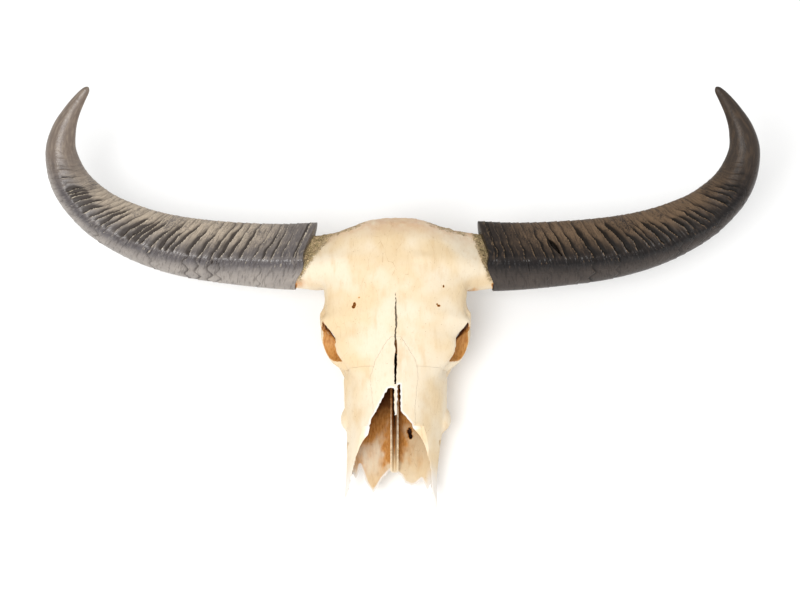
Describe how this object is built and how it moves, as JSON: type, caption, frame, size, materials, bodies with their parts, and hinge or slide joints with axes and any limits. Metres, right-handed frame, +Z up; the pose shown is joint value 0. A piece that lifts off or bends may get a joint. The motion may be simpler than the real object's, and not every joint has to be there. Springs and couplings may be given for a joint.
{
  "type": "water buffalo skull",
  "caption": "Weathered water buffalo skull without its lower jaw, lying on its cheek teeth, with broad ridged horns swept out and back in a wide crescent.",
  "frame": {"origin": "on the floor below the middle of the bounding box", "axes": "+X towards the viewer's right across the horns, +Y from the muzzle to the poll, +Z up from the floor that the cheek teeth rest on"},
  "size_m": [1.09, 0.6002, 0.2643],
  "materials": {
    "bone": "matt, dry, pitted",
    "horn": "satin, fibrous, with worn ridges"
  },
  "bodies": {
    "root": {"cranium": "bone", "maxilla_left": "bone", "maxilla_right": "bone", "nasal_left": "bone", "nasal_right": "bone", "zygomatic_left": "bone", "zygomatic_right": "bone", "vomer": "bone", "horn_sheath_left": "horn", "horn_sheath_right": "horn"}
  },
  "joints": []
}
